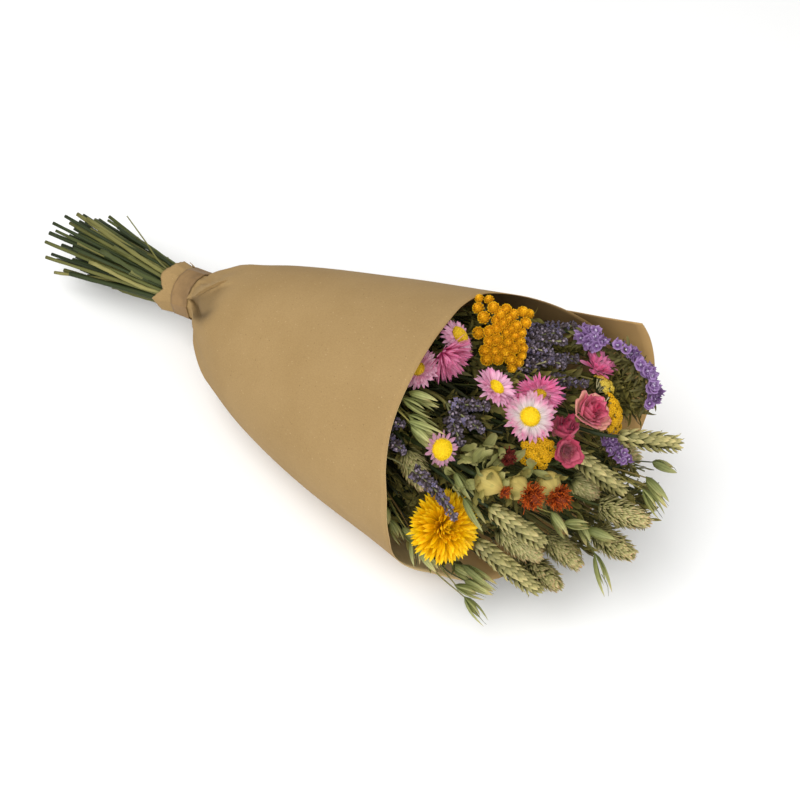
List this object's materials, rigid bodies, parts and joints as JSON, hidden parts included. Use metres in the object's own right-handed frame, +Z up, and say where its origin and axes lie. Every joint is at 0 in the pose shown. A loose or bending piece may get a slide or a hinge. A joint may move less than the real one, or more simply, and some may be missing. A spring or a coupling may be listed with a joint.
{
  "type": "mixed dried flower bouquet",
  "caption": "Bunch of dried field flowers and grasses rolled in a cone of brown kraft paper that is taped at the neck, lying on its back.",
  "frame": {"origin": "on the table, under the middle of the flat strip on which the paper wrap rests", "axes": "+X along the bunch from the cut stems to the flowers, +Z up from the table, +Y to the left of the flowers as seen from the stems"},
  "size_m": [0.602, 0.2437, 0.1967],
  "materials": {
    "kraft_paper": "matte",
    "paper_tape": "satin",
    "rubber_band": "matte",
    "dry_stem": "matte",
    "petal_pink": "matte",
    "petal_pale_pink": "matte",
    "flower_disc": "matte",
    "petal_gold": "satin",
    "mustard_floret": "matte",
    "petal_rose": "matte",
    "dry_leaf": "matte",
    "petal_purple": "matte",
    "lavender_spike": "matte",
    "pale_green_bract": "matte",
    "floret_orange": "matte",
    "floret_dark_red": "matte",
    "grass_head": "matte"
  },
  "bodies": {
    "root": {"daisy_front": "petal_pink", "daisy_front_disc": "flower_disc", "daisy_upper": "petal_pink", "daisy_upper_disc": "flower_disc", "daisy_back": "petal_pink", "daisy_back_disc": "flower_disc", "daisy_rim": "petal_pink", "daisy_rim_disc": "flower_disc", "daisy_behind": "petal_pink", "daisy_behind_disc": "flower_disc", "daisy_low": "petal_pale_pink", "daisy_low_disc": "flower_disc", "daisy_closing": "petal_pink", "daisy_small": "petal_pink", "strawflower": "petal_gold", "gold_buttons": "mustard_floret", "yarrow_front": "mustard_floret", "yarrow_side": "mustard_floret", "yarrow_small": "mustard_floret", "rose_open": "petal_rose", "rose_bud": "petal_rose", "rose_small": "petal_rose", "rose_leaves": "dry_leaf", "statice_upper": "petal_purple", "statice_arc": "petal_purple", "statice_low": "petal_purple", "lavender_back": "lavender_spike", "lavender_middle": "lavender_spike", "lavender_low": "lavender_spike", "lavender_left": "lavender_spike", "lavender_rim": "lavender_spike", "lavender_front": "lavender_spike", "safflower_right_bud": "pale_green_bract", "safflower_right_tuft": "floret_orange", "safflower_middle_bud": "pale_green_bract", "safflower_middle_tuft": "floret_orange", "safflower_left_bud": "pale_green_bract", "safflower_left_tuft": "floret_orange", "safflower_red_tuft": "floret_dark_red", "wheat_right": "grass_head", "wheat_middle": "grass_head", "wheat_centre": "grass_head", "wheat_front": "grass_head", "canary_grass_1": "grass_head", "canary_grass_2": "grass_head", "canary_grass_3": "grass_head", "canary_grass_4": "grass_head", "canary_grass_5": "grass_head", "canary_grass_6": "grass_head", "canary_grass_7": "grass_head", "canary_grass_8": "grass_head", "oats_right": "grass_head", "oats_hanging": "grass_head", "oats_front": "grass_head", "oats_left": "grass_head", "oats_middle": "grass_head", "stems": "dry_stem", "paper_wrap": "kraft_paper", "neck_tape": "paper_tape", "stem_band": "rubber_band"}
  },
  "joints": []
}
